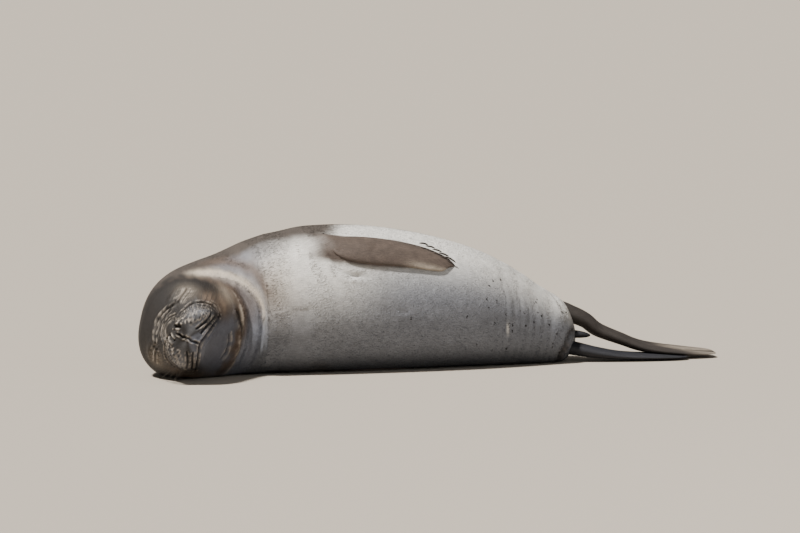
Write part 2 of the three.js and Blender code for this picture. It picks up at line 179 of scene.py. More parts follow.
def near(points, places, reach):
    """Distance of each point to a line of places, and the share along it; far points get reach."""
    share = np.linspace(0, 1, 14 * (len(places) - 1) + 1)
    path = curve_at(places, share)
    line = body_point(path[:, 0], np.radians(path[:, 1]))
    dist = np.full(len(points), float(reach))
    along = np.zeros(len(points))
    low, high = line.min(0) - reach, line.max(0) + reach
    inside = np.where(((points > low) & (points < high)).all(1))[0]
    for part in np.array_split(inside, max(1, len(inside) // 4000)):
        gap = np.linalg.norm(points[part, None] - line[None], axis=2)
        best = gap.argmin(1)
        dist[part] = gap[np.arange(len(part)), best]
        along[part] = share[best]
    return dist, along


def smooth(a, b, x):
    """0 where x is at a, 1 where it is at b, and a soft step between them."""
    q = np.clip((x - a) / (b - a), 0, 1)
    return q * q * (3 - 2 * q)


def hump(dist, width):
    return np.exp(-(dist / width) ** 2)


def drawn_out(share, steep):
    """1 along most of a line, fading to 0 at both its ends."""
    return np.clip(np.sin(np.pi * share) * steep, 0, 1)


def pressed(points, folds, steep):
    """Height added by folds (places, width, height), each with a low swelling at its sides."""
    rise = np.zeros(len(points))
    for places, width, height in folds:
        dist, share = near(points, places, width * 4)
        swell = 0.3 * height * hump(dist - 2.2 * width, width)
        rise += drawn_out(share, steep) * (height * hump(dist, width) - swell)
    return rise


def ripple(points, size, seed):
    """Smooth unevenness between -1 and 1, its waves about size millimetres long."""
    draw = np.random.default_rng(seed)
    total = np.zeros(len(points))
    for _ in range(7):
        way = draw.normal(size=3)
        way *= 2 * math.pi / (size * draw.uniform(0.6, 1.5) * np.linalg.norm(way))
        total += np.sin(points @ way + draw.uniform(0, 6.3))
    return np.clip(total / 3.2, -1, 1)


# Face: closed lids in rings of wrinkled skin, a short nose with slit nostrils, and a shut mouth under
# two swollen pads that carry the whiskers. It is soft flesh, folded where the head is bent.
MOUTH = [(110, 126), (60, 133), (26, 145), (13, 165), (12, 180), (13, 195), (26, 215), (60, 227), (110, 234)]
LIP = [(112, 136), (66, 145), (36, 160), (26, 180), (36, 200), (66, 215), (112, 224)]
PHILTRUM = [(9, 0), (3, 0), (0.2, 4), (0.2, 176), (3, 180), (11, 180)]
PAD = [(16, 52), (28, 84), (56, 102), (90, 110)]
PAD_GROOVES = [[(84, 109), (40, 113), (15, 113), (6, 110)], [(98, 118), (50, 123), (20, 128), (9, 138)]]
PAD_FOLD = [(34, 18), (48, 30), (72, 54), (98, 72), (112, 88), (120, 104), (122, 118)]
NOSTRIL = [(25, 14), (16, 25), (8, 38)]
BRIDGE = [(16, 0), (44, 4), (78, 0)]
BRIDGE_FOLDS = [[(52, 34), (66, 16), (70, 0), (66, -16), (52, -34)],
                [(76, 38), (96, 20), (103, 0), (96, -20), (76, -38)]]
BRIDGE_LINES = [[(64, 36), (80, 18), (86, 0), (80, -18), (64, -36)],
                [(112, 34), (116, 16), (120, 0), (116, -16), (112, -34)]]
BROW_FOLD = [(140, 50), (124, 38), (130, 22), (138, 0), (130, -22), (124, -38), (140, -50)]
BROW_RIDGE = [(150, 36), (160, 46), (176, 56)]
EYE = [(112, 46), (130, 53), (148, 60), (168, 64)]
MOUTH_CORNER = [(112, 124), (124, 124), (132, 120)]
CHEEK_LINE = [(132, 96), (136, 108), (134, 120)]
JAW_FOLD = [(205, 140), (216, 155), (236, 172), (244, 189), (236, 204), (222, 214)]
JAW_CREASE = [(178, 158), (190, 172), (196, 188), (190, 202)]
THROAT_CREASE = [(226, 136), (238, 152), (256, 172), (264, 190), (256, 206)]
NECK_CREASE = [(300, 126), (302, 160), (302, 190), (304, 218)]
LID_BULGE = 12.0
LID_SLIT = 2.4
LID_RINGS = [LID_BULGE + 5.5 * ring for ring in range(4)]
HEAD_END = 262


def both(places):
    """A line on the left side of the face and its twin on the right."""
    return [places, [(s, -d) for s, d in places]]


# Raised forms (places, width, height) and creases (places, width, depth)
FORMS = [(BRIDGE, 18, 9), (LIP, 7, 5), (JAW_FOLD, 11, 6)]
FORMS += [(line, 20, 16) for line in both(PAD)]
FORMS += [(line, 10, 6) for line in both(BROW_RIDGE)]
CREASES = [(MOUTH, 3.0, -9.5), (PHILTRUM, 2.6, -6.5), (BROW_FOLD, 4.5, -8.5)]
CREASES += [(line, 3.6, -7.0) for line in both(PAD_FOLD)]
CREASES += [(line, 2.6, -5.0) for groove in PAD_GROOVES for line in both(groove)]
CREASES += [(line, 3.0, -4.5) for line in BRIDGE_FOLDS]
CREASES += [(line, 2.2, -2.5) for line in BRIDGE_LINES]
CREASES += [(JAW_CREASE, 6, -7), (THROAT_CREASE, 6, -6), (NECK_CREASE, 9, -5)]
CREASES += [(line, 3.0, -6.0) for line in both(MOUTH_CORNER)]
CREASES += [(line, 3.5, -3.0) for line in both(CHEEK_LINE)]

# Whisker roots stand in rows along each pad, in steps between the fold above it and the groove below
PAD_TOP = [(26, 30), (42, 42), (64, 62), (88, 80), (104, 96)]
PAD_FOOT = [(5, 78), (18, 100), (44, 107), (74, 106), (98, 110)]
PAD_ROWS = 6
ROW_ROOTS = 9
FOLLICLES = []
for sign in (1, -1):
    for row in range(PAD_ROWS):
        for k in range(ROW_ROOTS):
            along = (k + 0.5 * (row % 2)) / (ROW_ROOTS - 0.2)
            down = (row + 0.3) / (PAD_ROWS - 0.2)
            (s0, d0), (s1, d1) = [[np.interp(4 * along, range(5), column) for column in zip(*line)]
                                  for line in (PAD_TOP, PAD_FOOT)]
            FOLLICLES.append((s0 + (s1 - s0) * down, sign * (d0 + (d1 - d0) * down)))


def head_relief(points):
    """Height added along the outward direction for the head's forms, creases, lids and nostrils."""
    rise = pressed(points, CREASES, 3)
    for places, width, height in FORMS:
        dist, share = near(points, places, width * 3)
        fade = np.sin(np.pi * np.clip(share, 0.08, 0.92)) ** 0.5
        rise += height * np.exp(-(dist / width) ** 2.4) * fade
    for slit in both(EYE):
        dist, share = near(points, slit, 60)
        fade = drawn_out(share, 2.2)
        rise += fade * (5.5 * hump(dist, LID_BULGE) - 6.5 * hump(dist, LID_SLIT))
        for ring, far in enumerate(LID_RINGS):
            rise -= (2.0 - 0.35 * ring) * hump(dist - far, 1.6) * fade
    for slit in both(NOSTRIL):
        dist, share = near(points, slit, 40)
        rise += drawn_out(share, 2.5) * (3.4 * hump(dist - 7.5, 3.2) - 9 * hump(dist, 3.4))
    for s, d in FOLLICLES:
        dist, _ = near(points, [(s, d), (s + 1, d)], 9)
        rise += 2.4 * hump(dist, 3.0) - 2.2 * hump(dist, 1.2)
    return rise


def head_shade_and_highlights(points):
    """How dark with painted shade (in creases, eye slits, nostrils and whisker roots) and how pale with
    painted highlights (on ridges, lids and nostril rims) the head is.
    """
    dark, pale = np.zeros(len(points)), np.zeros(len(points))
    for places, width, height in CREASES:
        dist, share = near(points, places, width * 4)
        strength = min(1.0, -height / 5) * drawn_out(share, 3)
        dark = np.maximum(dark, strength * hump(dist, 0.9 * width))
        pale = np.maximum(pale, 0.6 * strength * hump(dist - 2.0 * width, 0.8 * width))
    for s, d in FOLLICLES:
        dist, _ = near(points, [(s, d), (s + 1, d)], 9)
        dark = np.maximum(dark, hump(dist, 2.3))
        pale = np.maximum(pale, 0.8 * hump(dist - 4.6, 1.4))
    for slit in both(EYE):
        dist, share = near(points, slit, 60)
        fade = drawn_out(share, 2.2)
        dark = np.maximum(dark, fade * hump(dist, 2.2))
        for ring, far in enumerate(LID_RINGS):
            dark = np.maximum(dark, 0.7 * fade * hump(dist - far, 1.7))
            pale = np.maximum(pale, (0.95 - 0.2 * ring) * fade * hump(dist - far + 3.5, 2.0))
    for slit in both(NOSTRIL):
        dist, share = near(points, slit, 40)
        fade = drawn_out(share, 2.5)
        dark = np.maximum(dark, fade * hump(dist, 4))
        pale = np.maximum(pale, fade * hump(dist - 8, 2.6))
    pale *= np.clip(0.5 + 0.8 * ripple(points, 14, 3), 0, 1)
    dark *= np.clip(0.85 + 0.4 * ripple(points, 26, 4), 0.3, 1)
    return dark, pale


# Folds of the trunk: the mound of the shoulder with the armpit under it, rolls of fat behind the
# neck, the crease of the groin and fine wrinkles round the hips. All are the body's own soft flesh.
SHOULDER = [(590, 122), (670, 131), (740, 137), (810, 140), (880, 139)]
SHOULDER_RISE = 21
SHOULDER_WIDE = 44
GROIN = [(1460, 170), (1449, 184), (1436, 202), (1420, 220), (1408, 236)]
BODY_FOLDS = [
    ([(640, 118), (668, 132), (694, 146), (722, 157), (776, 160)], 7, -9),
    ([(652, 112), (676, 140), (700, 158)], 8, -5),
    ([(628, 124), (646, 150), (690, 174)], 14, -3),
    (GROIN, 8, -11),
    ([(1404, 112), (1420, 132), (1440, 152)], 7, -5),
    ([(239, 70), (290, 110), (345, 142), (392, 168), (398, 192)], 9, -4),
    ([(330, 112), (372, 138), (432, 160), (470, 180)], 14, -4),
    ([(262, 106), (288, 130), (322, 160), (334, 184)], 8, -3),
    ([(1244, -176), (1243, -170), (1240, -163)], 3, -2.5),
    ([(880, 184), (884, 186), (888, 184)], 6, -3),
]
for j in range(7):
    at = 1215 + 26 * j
    BODY_FOLDS.append(([(at, 140 + 3 * j), (at + 12, 166), (at + 6, 200), (at - 10, 226)], 5, -0.9))


def body_relief(points, s, phi):
    """Height added for the trunk's folds, at points that stand at (s, phi)."""
    turn = np.degrees(phi)
    dist, share = near(points, SHOULDER, 160)
    rise = SHOULDER_RISE * np.exp(-(dist / SHOULDER_WIDE) ** 2.6) * drawn_out(share, 1.25)
    rise += 2.2 * np.sin(s / 27 + 0.02 * turn) * smooth(340, 420, s) * (1 - smooth(560, 700, s))
    rise += 0.45 * np.sin(s / 9 + 0.05 * turn) * smooth(1180, 1260, s)
    return rise + pressed(points, BODY_FOLDS, 2)


# The skin stays under the solid by the depth of the coat, and its forms rise no more than these limits
COAT = 2.2
FACE_END = 400
HEAD_RISE = 18.0
TRUNK_RISE = 1.0
ROOT_RISE = 20


def skin_point(s, phi):
    """Points of the finished skin at (s, phi), and the outward directions there."""
    base = body_point(s, phi)
    normal = body_normal(s, phi)
    rise = body_relief(base, s, phi)
    on_face = s < FACE_END
    rise[on_face] += head_relief(base[on_face])
    turn = np.degrees(phi) % 360
    by_flipper = (smooth(600, 680, s) * (1 - smooth(860, 920, s))
                  * smooth(100, 118, turn) * (1 - smooth(150, 166, turn)))
    rise = np.minimum(rise, np.where(s < HEAD_END, HEAD_RISE, TRUNK_RISE + ROOT_RISE * by_flipper))
    moved = base + normal * (rise - COAT)[:, None]
    moved[:, 2] = np.maximum(moved[:, 2], 0.4)
    return moved, normal


# Flippers and tail: flesh and skin over bone, thick at the near edge and thin behind, the hind ones
# fanned into toes. Each is a closed form rooted well inside the body, so that it grows out of it.
# A share t runs from the root (0) to the tip (1), and a turn goes round the flipper.
FORE_BLUNT = 3.2
FLANK_RADIUS = 215
NEAR_SWEEP = 22
FAR_SWEEP = 14


def grid_faces(first, rows, around):
    """Faces between rings of points that start at number first."""
    faces = []
    for i in range(rows - 1):
        for j in range(around):
            a, b = first + i * around + j, first + i * around + (j + 1) % around
            faces.append((a, b, b + around, a + around))
    return faces


def closed_form(places, long, across):
    """A closed grid: long rings of across points, and a point at each end. places(t, turn) -> points."""
    t = (1 - np.cos(np.linspace(0, math.pi, long + 2))) / 2
    turn = np.linspace(0, 2 * math.pi, across, endpoint=False)
    tt, aa = [a.ravel() for a in np.meshgrid(t[1:-1], turn, indexing="ij")]
    ends = places(np.array([0.0, 1.0]), np.array([0.0, 0.0]))
    faces = grid_faces(0, long, across)
    n = long * across
    for j in range(across):
        k = (j + 1) % across
        faces.append((n, k, j))
        faces.append((n + 1, n - across + j, n - across + k))
    shares = np.concatenate([tt, [0.0, 1.0]])
    rounds = np.concatenate([aa / (2 * math.pi), [0.5, 0.5]])
    return np.vstack([places(tt, aa), ends]), faces, shares, rounds


def fore_axis(t):
    """The middle line of the left fore flipper, from the shoulder back over the flank, in (s, degrees)."""
    return 686 + 358 * t, 134 + 16 * t - 14 * t * t + 11.5 * t**4


def fore_half(t):
    return 56 - 4 * t - 10 * t * t


def fore_plan(t):
    return (1 - np.abs(2 * t - 1) ** FORE_BLUNT) ** (1 / FORE_BLUNT)


def fore_left(t, turn):
    s0, degrees = fore_axis(t)
    plan = fore_plan(t)
    w, h = np.cos(turn), np.sin(turn)
    half = (fore_half(t) - 2) * plan
    phi = np.radians(degrees) + w * half / FLANK_RADIUS
    s = s0 - np.where(w > 0, NEAR_SWEEP, FAR_SWEEP) * w * t
    thick = 34 * (1.1 - 0.45 * t) * (0.78 + 0.22 * w) - 2.5
    toes = 1 - 0.1 * (0.5 - 0.5 * np.cos(w * 12.6)) * smooth(0.35, 0.7, t)
    lift = thick / 2 - 7 + thick / 2 * h * plan * np.where(h > 0, toes, 1)
    return body_point(s, phi) + body_normal(s, phi) * lift[:, None]


# The right fore flipper is tucked flat under the chest
RIGHT_X = -110
RIGHT_Y = -66
RIGHT_LONG = 290
RIGHT_TURN = -0.12


def right_half(t):
    return np.sin(math.pi * t) ** 0.45 * (52 - 14 * t)


def right_high(t):
    return 24 * (1 - 0.3 * t) * np.sin(math.pi * t) ** 0.5


def right_place(t, off, high):
    """Share t along the right flipper, off to its side and high over the floor."""
    c, k = math.cos(RIGHT_TURN), math.sin(RIGHT_TURN)
    along = RIGHT_LONG * t
    return np.stack([RIGHT_X + along * c - off * k, RIGHT_Y + along * k + off * c, high], -1)


def fore_right(t, turn):
    return right_place(t, np.cos(turn) * right_half(t), np.maximum(np.sin(turn), 0) * right_high(t) + 0.3)


def hind(line, halves, thicks, tilt):
    """A hind flipper along line, from lists of half widths and thicknesses, tilted sideways."""
    def places(t, turn):
        w, h = np.cos(turn), np.sin(turn)
        plan = (1 - np.abs(2 * t - 1) ** 4) ** 0.25
        notch = 0.15 * (1 - w * w) * np.maximum(t - 0.5, 0) * 2
        toes = 0.016 * np.cos(w * 9.4) * np.maximum(t - 0.7, 0) / 0.3
        at = np.clip(t - notch + toes, 0, 1)
        ahead = unit(curve_at(line, np.clip(at + 0.01, 0, 1)) - curve_at(line, np.clip(at - 0.01, 0, 1)))
        side = unit(np.stack([-ahead[:, 1], ahead[:, 0], np.full(len(t), tilt)], -1))
        rise = np.cross(ahead, side)
        webs = 1 - 0.28 * (0.5 - 0.5 * np.cos(w * 12.5)) * np.maximum(t - 0.4, 0) / 0.6
        half = np.interp(t, np.linspace(0, 1, len(halves)), halves) * plan - 1.2
        thick = np.interp(t, np.linspace(0, 1, len(thicks)), thicks) / 2 * plan * webs - 1.0
        half, thick = np.maximum(half, 0.2), np.maximum(thick, 0.15)
        p = curve_at(line, at) + side * (w * half)[:, None] + rise * (h * thick)[:, None]
        p[:, 2] = settle(p[:, 2]) + 0.4
        return p
    return places


hind_left = hind([[575, -5, 136], [640, -22, 150], [689, -32, 134], [728, -38, 116], [765, -42, 88],
                  [832, -48, 61], [908, -54, 35], [1031, -64, 20], [1130, -74, 14]],
                 halves=[34, 38, 40, 42, 46, 56, 66, 74, 74],
                 thicks=[60, 60, 54, 48, 44, 40, 36, 30, 16], tilt=0.08)
hind_right = hind([[590, -48, 52], [670, -68, 40], [740, -84, 26], [810, -96, 16], [880, -104, 12],
                   [960, -108, 10], [1020, -110, 9]],
                  halves=[30, 38, 42, 46, 52, 56, 56],
                  thicks=[56, 46, 36, 28, 24, 22, 16], tilt=0.03)


def tail(t, turn):
    ring = 2 * np.sqrt(np.clip(t * (1 - t), 0, 1))
    u = 2 * t - 1
    return np.stack([676 + 60 * u, -52 + 29 * ring * np.cos(turn) - 8 * u,
                     80 + 12 * ring * np.sin(turn) - 6 * u], -1)


# Markings: silver belly, slate back, charcoal head with tan cheeks, a pale ring round the neck.
# They are the colours of the hair itself, with painted shade and painted highlights laid over them:
# darker in creases, slits and pits, between the hind flippers, on the underside and near the floor,
# paler on the head's ridges and lids and on the sunlit upper side. One function gives the colour at
# any place, for the skin and for the hairs rooted there.
def linear(hex_text):
    c = np.array([int(hex_text[i:i + 2], 16) / 255 for i in (1, 3, 5)])
    return np.where(c <= 0.04045, c / 12.92, ((c + 0.055) / 1.055) ** 2.4)


SILVER = linear("#7f828a")
PALE_AND_SUNLIT = linear("#dad7d1")
SLATE = linear("#48413c")
CHARCOAL = linear("#1f1b19")
BROWN = linear("#52443a")
TAN = linear("#8e7a68")
THROAT = linear("#5c5e67")
CREAM = linear("#c9bba9")
FLIPPER = linear("#51463f")
HIND = linear("#2c2724")
SHADED_HIND = linear("#1f1f24")
PAD_GREY = linear("#828388")
PAINTED_HIGHLIGHT = linear("#c4b8aa")
SHADE_AND_SPECK_DARK = linear("#110e0c")
# The hind flippers share one colour: a little lighter on the upper one, and darkened with painted shade on
# the lower one and the tail, which lie in shade under and between them
LIMB_BASE = {"fore_left": FLIPPER, "fore_right": FLIPPER, "hind_left": HIND * 1.15,
             "hind_right": SHADED_HIND, "tail": SHADED_HIND}
# Where the pale ring of the neck and the dark hood of the head lie: degrees round, and s at each
RING_DEGREES = [0, 76, 124, 160, 180, 205, 240, 360]
RING_S = [215, 239, 316, 387, 420, 410, 350, 215]
HOOD_DEGREES = [0, 76, 124, 150, 180, 205, 240, 360]
HOOD_S = [205, 228, 288, 292, 272, 258, 236, 205]
# Coloured spots on each side of the head: colour, strength, s, degrees, and reach along and round
HEAD_SPOTS = [(TAN, 0.6, 138, 94, 26, 12), (CREAM, 0.35, 216, 118, 30, 14),
              (PAD_GREY, 0.85, 50, 88, 46, 26), (CREAM, 0.28, 150, 62, 34, 14)]


def mix(a, b, share):
    return a * (1 - share[:, None]) + b * share[:, None]


def spot(s, turn, s0, turn0, long, wide):
    gap = (turn - turn0 + 180) % 360 - 180
    return np.exp(-((s - s0) / long) ** 2 - (gap / wide) ** 2)


def body_colour(s, phi, z):
    turn = np.degrees(phi)
    round_ = turn % 360
    from_back = np.abs((turn + 180) % 360 - 180)
    place = body_point(s, phi)
    rough, broad = ripple(place, 34, 1), ripple(place, 120, 2)
    colour = np.tile(SILVER, (len(s), 1)) * (1 + 0.05 * broad + 0.03 * rough)[:, None]
    # painted sunlight: the upper side of the belly, which faces the sun, is made near white
    colour = mix(colour, PALE_AND_SUNLIT, 0.9 * smooth(178, 128, from_back) * smooth(420, 620, s) * (turn > 0))
    # a cream patch in front of the shoulder, a painted pool of sunlight on the chest, and painted shade that
    # darkens the belly towards the side it lies on
    colour = mix(colour, CREAM, 0.6 * spot(s, turn, 520, 158, 90, 26))
    colour = mix(colour, PALE_AND_SUNLIT, 0.8 * spot(s, turn, 670, 158, 140, 28))
    # painted shade: the belly darkens as it turns down towards the floor, away from the sun
    colour = colour * (1 - 0.52 * smooth(166, 232, round_))[:, None]
    # slate back, over the shoulder and down to the root of the flipper
    edge = 84 + 34 * hump(s - 520, 170) + 22 * hump(s - 670, 75) + 2 * rough + 5 * broad
    colour = mix(colour, SLATE, smooth(edge + 18, edge - 14, from_back))
    dist, share = near(place, SHOULDER, 160)
    colour = mix(colour, FLIPPER, smooth(62, 44, dist) * smooth(0.06, 0.3, share))
    # fine streaks run round the hips, a pale scar lies on them, and the groin's crease is darkened with
    # painted shade, brown on its sides and near black along it
    streak = np.sin(s / 2.9 + 2.2 * rough + 1.5 * broad) * smooth(1090, 1230, s)
    colour = colour * (1 - 0.05 * smooth(0.2, 1, streak) - 0.16 * smooth(1020, 1300, s))[:, None]
    colour = mix(colour, PALE_AND_SUNLIT, 0.8 * spot(s, turn, 1231, -169, 2.2, 5))
    dist, share = near(place, GROIN, 60)
    colour = mix(colour, BROWN, 0.6 * hump(dist - 8, 9) * (0.6 + 0.4 * rough))
    colour = mix(colour, SHADE_AND_SPECK_DARK, 0.95 * hump(dist, 7))
    # the neck: a pale ring between two brown bands, grey on the throat; the ring's cream on the neck roll's
    # upper side is partly the coat's colour and partly painted highlight
    ring = np.interp(round_, RING_DEGREES, RING_S) + 6 * rough
    hood = np.interp(round_, HOOD_DEGREES, HOOD_S) + 5 * rough
    upper = smooth(70, 100, round_) * smooth(182, 158, round_)
    colour = mix(colour, BROWN * 1.3, 0.8 * hump(s - ring - 88, 42) * upper)
    colour = mix(colour, THROAT * 1.3, 0.55 * smooth(40, -60, s - ring) * smooth(150, 175, round_))
    colour = mix(colour, BROWN * 1.5, 0.6 * smooth(10, -30, s - ring) * (1 - smooth(150, 185, round_)))
    colour = mix(colour, BROWN, smooth(22, -30, s - hood))
    upper = smooth(60, 84, round_) * smooth(190, 165, round_)
    colour = mix(colour, CREAM, 0.85 * hump(s - ring - 10, 25) * upper)
    # the head: charcoal and brown, a blue-grey chin, tan cheeks
    colour = mix(colour, CHARCOAL, smooth(262, 196, s + 12 * rough - 0.32 * np.abs(round_ - 180) + 26))
    colour = mix(colour, THROAT, smooth(62, 36, np.abs(round_ - 180)) * smooth(232, 190, s + 8 * rough))
    for sign in (1, -1):
        colour = mix(colour, TAN, 0.8 * spot(s, turn, 172, sign * 118, 36, 15) * (0.8 + 0.2 * rough))
        for tint, strength, s0, turn0, long, wide in HEAD_SPOTS:
            colour = mix(colour, tint, strength * spot(s, turn, s0, sign * turn0, long, wide))
    colour = mix(colour, CREAM, 0.35 * hump(s - 252, 7) * smooth(60, 30, np.abs(round_ - 186)))
    # painted shade in the head's creases, eye slits, nostrils and whisker roots, and painted highlights on
    # the ridges, lids and nostril rims
    head = s < HEAD_END
    dark, pale = np.zeros(len(s)), np.zeros(len(s))
    dark[head], pale[head] = head_shade_and_highlights(place[head])
    colour = mix(colour, PAINTED_HIGHLIGHT, 0.8 * pale)
    colour = mix(colour, SHADE_AND_SPECK_DARK, 0.85 * dark)
    # painted shade: darker round the root of the tail, which lies in shade between the hind flippers, and
    # darker near the floor
    colour = mix(colour, HIND, 0.7 * smooth(1448, 1490, s + 8 * rough))
    # painted shade near the floor, darkest where the body rests on it
    return colour * (1 - 0.4 * smooth(70, 6, z))[:, None]


def limb_colour(name, t, around):
    colour = np.tile(LIMB_BASE[name], (len(t), 1))
    w = np.cos(around * 2 * math.pi)
    if name == "fore_left":
        colour = mix(colour, CREAM, 0.45 * smooth(0.45, 0.9, w) * smooth(0.55, 0.8, t))
        colour = mix(colour, HIND, 0.35 * smooth(-0.45, -0.8, w) * smooth(0.4, 0.6, t))
    if name == "hind_left":
        colour = mix(colour, SLATE * 1.3, 0.5 * smooth(0.5, 0.9, w) * smooth(0.2, 0.5, t))
        colour = mix(colour, CREAM, 0.25 * smooth(0.86, 1.0, t))
    mottle = np.sin(23 * t + 2.1 * np.sin(11 * around)) * np.sin(31 * around + 1.7 * np.sin(19 * t))
    return colour * (1 + 0.13 * mottle)[:, None]


# Skin: one closed hide over the whole animal, soft and loose, with every fold and marking in it.
# The body and each flipper are their own closed forms, and each has its own strip of the unwrap.
AROUND = 220
HEAD_AROUND = 2 * AROUND
head_rows = np.concatenate([
    NOSE_CAP * (1 - np.cos(np.linspace(0, math.pi / 2, 36))),
    np.linspace(NOSE_CAP, 132, 49)[1:],
    np.linspace(132, HEAD_END, 42)[1:],
])[1:]
trunk_rows = np.concatenate([
    np.linspace(HEAD_END + 4, 470, 38),
    np.linspace(470, 1180, 50)[1:],
    np.linspace(1180, LENGTH - RUMP_CAP, 32)[1:],
    LENGTH - RUMP_CAP + RUMP_CAP * np.sin(np.linspace(0, math.pi / 2, 12))[1:-1],
])


def ring_grid(rows, around):
    turns = np.linspace(-math.pi, math.pi, around, endpoint=False)
    return [a.ravel() for a in np.meshgrid(rows, turns, indexing="ij")]


head_s, head_phi = ring_grid(head_rows, HEAD_AROUND)
trunk_s, trunk_phi = ring_grid(trunk_rows, AROUND)
grid_s, grid_phi = np.concatenate([head_s, trunk_s]), np.concatenate([head_phi, trunk_phi])
grid_points, _ = skin_point(grid_s, grid_phi)
nose_tip, _ = skin_point(np.array([0.3]), np.array([0.0]))
rump_end, _ = skin_point(np.array([LENGTH - 0.3]), np.array([0.0]))
body_points = np.vstack([grid_points, nose_tip, rump_end])

# The head has twice the points round it, so its last ring is joined to the trunk's first in threes
n_grid, n_head = len(grid_s), len(head_s)
body_faces = grid_faces(0, len(head_rows), HEAD_AROUND) + grid_faces(n_head, len(trunk_rows), AROUND)
for j in range(AROUND):
    last = n_head - HEAD_AROUND
    a, b, c = last + 2 * j, last + 2 * j + 1, last + (2 * j + 2) % HEAD_AROUND
    d, e = n_head + j, n_head + (j + 1) % AROUND
    body_faces += [(a, b, d), (b, e, d), (b, c, e)]
for j in range(HEAD_AROUND):
    body_faces.append((n_grid, (j + 1) % HEAD_AROUND, j))
for j in range(AROUND):
    body_faces.append((n_grid + 1, n_grid - AROUND + j, n_grid - AROUND + (j + 1) % AROUND))

# The unwrap: the body takes the lower part of the map, each flipper and the tail its own strip above
BODY_FOOT = 0.005
BODY_HIGH = 0.69
LIMB_FOOT = 0.72
LIMB_HIGH = 0.26
LIMB_LEFT = 0.01
LIMB_STEP = 0.195
LIMB_WIDE = 0.18


def body_map(s, phi):
    return phi / (2 * math.pi) + 0.5, s / LENGTH * BODY_HIGH + BODY_FOOT


body_u, body_v = body_map(grid_s, grid_phi)
end_s = np.array([0.4, LENGTH - 0.4])
body_tint = body_colour(np.concatenate([grid_s, end_s]), np.concatenate([grid_phi, [0.0, 0.0]]),
                        body_points[:, 2])
parts = [(body_points, body_faces, np.concatenate([body_u, [0.5, 0.5]]),
          np.concatenate([body_v, [BODY_FOOT, BODY_FOOT + BODY_HIGH]]), body_tint)]
LIMBS = [("fore_left", fore_left, 70, 40), ("fore_right", fore_right, 30, 24),
         ("hind_left", hind_left, 80, 48), ("hind_right", hind_right, 70, 40), ("tail", tail, 18, 20)]
for index, (name, places, long, across) in enumerate(LIMBS):
    points, faces, t, around = closed_form(places, long, across)
    parts.append((points, faces, LIMB_LEFT + LIMB_STEP * index + LIMB_WIDE * around,
                  LIMB_FOOT + LIMB_HIGH * t, limb_colour(name, t, around)))


def make_mesh(name, points, faces):
    """A piece from points in millimetres."""
    mesh = bpy.data.meshes.new(name)
    mesh.from_pydata([tuple(p) for p in np.asarray(points) / 1000], [], faces)
    mesh.update()
    piece = bpy.data.objects.new(name, mesh)
    bpy.context.scene.collection.objects.link(piece)
    return piece


def write_map(mesh, name, u, v):
    """Per-corner map from per-point values; a face that crosses the seam is closed up at its far side."""
    layer = mesh.uv_layers.new(name=name)
    corner = np.zeros(len(mesh.loops), dtype=np.int64)
    starts = np.zeros(len(mesh.polygons), dtype=np.int64)
    counts = np.zeros(len(mesh.polygons), dtype=np.int64)
    mesh.loops.foreach_get("vertex_index", corner)
    mesh.polygons.foreach_get("loop_start", starts)
    mesh.polygons.foreach_get("loop_total", counts)
    uu, vv = u[corner].copy(), v[corner]
    owner = np.repeat(np.arange(len(starts)), counts)
    top = np.full(len(starts), -1.0)
    np.maximum.at(top, owner, uu)
    width = np.where(vv < (BODY_HIGH + LIMB_FOOT) / 2, 1.0, LIMB_WIDE)
    uu = np.where(top[owner] - uu > 0.5 * width, uu + width, uu)
    layer.data.foreach_set("uv", np.stack([uu, vv], -1).ravel().astype(np.float32))


def write_colour(mesh, values):
    layer = mesh.color_attributes.new(name="coat", type="FLOAT_COLOR", domain="POINT")
    rgba = np.ones((len(values), 4), dtype=np.float32)
    rgba[:, :3] = values
    layer.data.foreach_set("color", rgba.ravel())


skin_faces = []
first = 0
for points, faces, _, _, _ in parts:
    skin_faces += [tuple(i + first for i in face) for face in faces]
    first += len(points)
all_points, _, all_u, all_v, all_tints = zip(*parts)
skin = make_mesh("skin", np.vstack(all_points), skin_faces)
write_map(skin.data, "OFBake", np.concatenate(all_u), np.concatenate(all_v))
write_colour(skin.data, np.vstack(all_tints))
skin.data.polygons.foreach_set("use_smooth", [True] * len(skin.data.polygons))
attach(skin, "root")
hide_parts("head", "neck", "chest", "belly", "hips", "tail", "eyelid_upper_left", "eyelid_lower_left",
            "eyelid_upper_right", "eyelid_lower_right", "fore_flipper_left", "fore_flipper_right",
            "hind_flipper_left", "hind_flipper_right")


# Short fur: stiff guard hairs a centimetre long that lie flat towards the tail, with hardly any underwool.
# They grow out of the hide in its colours, with the painted shade and highlights in them, so the coat looks
# matt, with fine uneven streaks.
# The streaks are drawn about 2 mm wide and 22 mm long, since single hairs are too fine to show.
CLUMP = 2.38
PATCH = 26.3
STREAKS_ROUND = 620.0
STREAKS_ALONG = 95.0


def add_node(tree, kind, links=(), **settings):
    """A node with its settings; links are pairs of an input's name or number and the socket it takes."""
    node = tree.nodes.new(kind)
    for key, value in settings.items():
        if hasattr(node, key):
            setattr(node, key, value)
        else:
            node.inputs[key.replace("_", " ")].default_value = value
    for entry, source in links:
        tree.links.new(source, node.inputs[entry])
    return node


def new_material(name):
    material = bpy.data.materials.new(name)
    material.use_nodes = True
    return material, material.node_tree, material.node_tree.nodes["Principled BSDF"]


